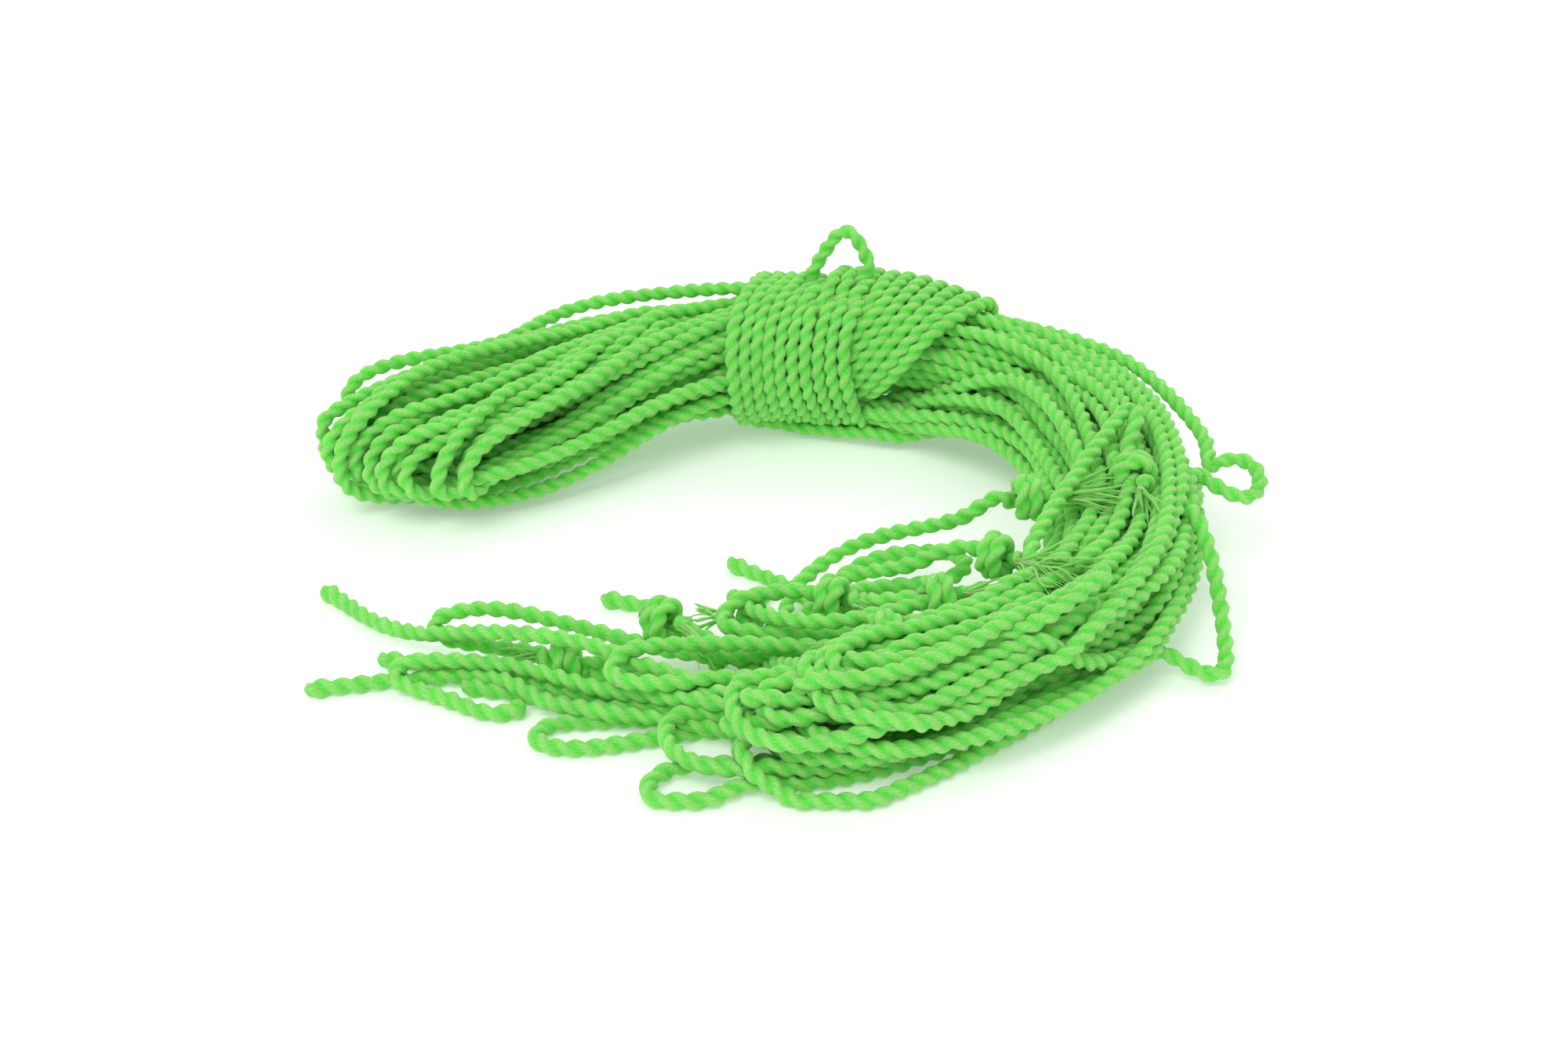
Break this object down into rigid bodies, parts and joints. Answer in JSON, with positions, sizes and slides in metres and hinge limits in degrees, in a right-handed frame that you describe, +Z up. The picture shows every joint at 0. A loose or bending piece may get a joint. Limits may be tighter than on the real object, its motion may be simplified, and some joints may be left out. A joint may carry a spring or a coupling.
{
  "type": "string hank",
  "caption": "Loosely folded hank of thin two-ply twisted strings, bent into a C and tied round its middle by its own strands, with loop ends and frayed knots.",
  "frame": {"origin": "on the resting plane, under the middle of the whole hank in plan", "axes": "+Z up; the tied back leg lies at +Y, the C opens to -X, and the knots lie inside it"},
  "size_m": [0.0804, 0.0698, 0.0208],
  "materials": {
    "hank_string": "matt spun fibre",
    "tie_string": "matt spun fibre",
    "free_string": "matt spun fibre",
    "knot_and_tuft": "matt spun fibre, frayed"
  },
  "bodies": {
    "root": {"hanging_loop": "free_string", "lifted_strand_back": "free_string", "lifted_strand_left": "free_string", "lifted_strand_right": "free_string", "ring_loop": "free_string", "standing_loop": "free_string", "string_01_hank": "hank_string", "string_01_knot": "knot_and_tuft", "string_01_knot_tail": "free_string", "string_01_loop_end": "free_string", "string_02_hank": "hank_string", "string_02_knot": "knot_and_tuft", "string_02_knot_tail": "free_string", "string_02_loop_end": "free_string", "string_03_hank": "hank_string", "string_03_knot": "knot_and_tuft", "string_03_knot_tail": "free_string", "string_03_loop_end": "free_string", "string_04_hank": "hank_string", "string_04_knot": "knot_and_tuft", "string_04_knot_tail": "free_string", "string_04_loop_end": "free_string", "string_05_hank": "hank_string", "string_05_knot": "knot_and_tuft", "string_05_knot_tail": "free_string", "string_05_loop_end": "free_string", "string_06_hank": "hank_string", "string_06_knot": "knot_and_tuft", "string_06_knot_tail": "free_string", "string_06_loop_end": "free_string", "string_07_hank": "hank_string", "string_07_knot": "knot_and_tuft", "string_07_knot_tail": "free_string", "string_07_loop_end": "free_string", "string_08_hank": "hank_string", "string_08_knot": "knot_and_tuft", "string_08_knot_tail": "free_string", "string_08_loop_end": "free_string", "string_09_hank": "hank_string", "string_09_knot": "knot_and_tuft", "string_09_knot_tail": "free_string", "string_09_loop_end": "free_string", "string_10_hank": "hank_string", "string_10_knot": "knot_and_tuft", "string_10_knot_tail": "free_string", "string_10_loop_end": "free_string", "tie_first_turn": "tie_string", "tie_second_turn": "tie_string"}
  },
  "joints": []
}
